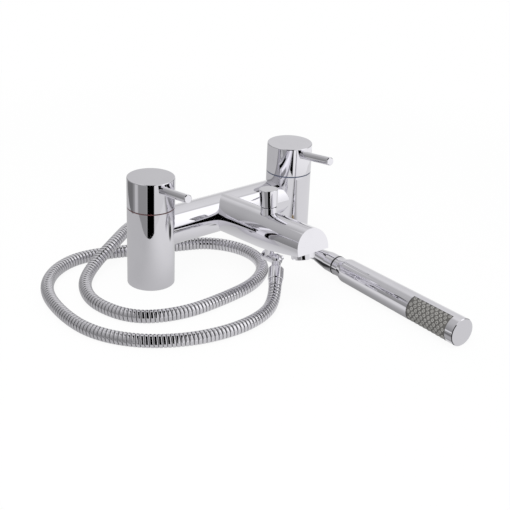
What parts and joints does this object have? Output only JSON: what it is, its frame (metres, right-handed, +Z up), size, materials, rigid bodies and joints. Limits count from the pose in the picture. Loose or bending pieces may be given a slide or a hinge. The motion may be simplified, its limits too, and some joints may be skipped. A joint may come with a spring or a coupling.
{
  "type": "bath shower mixer",
  "caption": "Deck-mounted bath mixer with lever taps, rising spout, pull-up diverter, ribbed hose and a slim round handset.",
  "frame": {"origin": "on the deck plane, midway between the axes of the two pillars' tail holes", "axes": "+Z up from the deck, +X from the hot pillar to the cold pillar, -Y the way the spout points"},
  "size_m": [0.3265, 0.3944, 0.1199],
  "materials": {
    "chrome": "polished",
    "hose_steel": "polished",
    "brass": "machined",
    "steel": "plain",
    "black_rubber": "matt",
    "red_mark": "gloss",
    "blue_mark": "gloss",
    "white_plastic": "satin",
    "valve_disc": "lapped",
    "spray_grey": "satin"
  },
  "bodies": {
    "mixer": {"hot_pillar": "chrome", "hot_base_seal": "black_rubber", "hot_ring": "red_mark", "hot_valve_body": "brass", "hot_spindle_seal": "black_rubber", "hot_fixed_disc": "valve_disc", "hot_seat_washer": "black_rubber", "cold_pillar": "chrome", "cold_base_seal": "black_rubber", "cold_ring": "blue_mark", "cold_valve_body": "brass", "cold_spindle_seal": "black_rubber", "cold_fixed_disc": "valve_disc", "cold_seat_washer": "black_rubber", "bridge_bar": "chrome", "spout": "chrome", "diverter_collar": "chrome", "diverter_seal": "black_rubber", "aerator_housing": "chrome", "aerator_core": "white_plastic", "aerator_washer": "black_rubber", "outlet_elbow": "chrome", "outlet_washer": "black_rubber", "check_valve": "white_plastic", "knuckle_pin": "chrome", "outlet_tail": "chrome", "hose_nut": "chrome", "hose_washer": "black_rubber", "hose_ferrule": "chrome", "shower_hose": "hose_steel", "handset_ferrule": "brass", "handset_washer": "black_rubber", "handset_nut": "chrome"},
    "hot_handle": {"hot_head": "chrome", "hot_lever": "chrome", "hot_grub_screw": "steel", "hot_spindle": "brass", "hot_spindle_clip": "steel", "hot_moving_disc": "valve_disc"},
    "cold_handle": {"cold_head": "chrome", "cold_lever": "chrome", "cold_grub_screw": "steel", "cold_spindle": "brass", "cold_spindle_clip": "steel", "cold_moving_disc": "valve_disc"},
    "diverter": {"diverter_knob": "chrome", "diverter_stem": "brass", "diverter_lower_washer": "black_rubber", "diverter_upper_washer": "black_rubber"},
    "handset": {"handset_inlet": "chrome", "handset_restrictor": "white_plastic", "handset_body": "chrome", "handset_liner": "white_plastic", "spray_face": "spray_grey", "handset_end_cap": "chrome", "handset_o_ring": "black_rubber"}
  },
  "joints": [
    {"name": "hot_turn", "type": "hinge", "parent": "mixer", "child": "hot_handle", "pos_m": [-0.09, 0, 0.0833], "axis": [0, 0, 1], "range_deg": [0, 90]},
    {"name": "cold_turn", "type": "hinge", "parent": "mixer", "child": "cold_handle", "pos_m": [0.09, 0, 0.0833], "axis": [0, 0, 1], "range_deg": [0, 90]},
    {"name": "diverter_pull", "type": "slide", "parent": "mixer", "child": "diverter", "axis": [0, 0.0785, 0.9969], "range_m": [0, 0.008]},
    {"name": "handset_turn", "type": "hinge", "parent": "mixer", "child": "handset", "pos_m": [0.07491, -0.072, 0.01218], "axis": [-0.0295, -0.9995, 0.0095], "continuous": true}
  ]
}
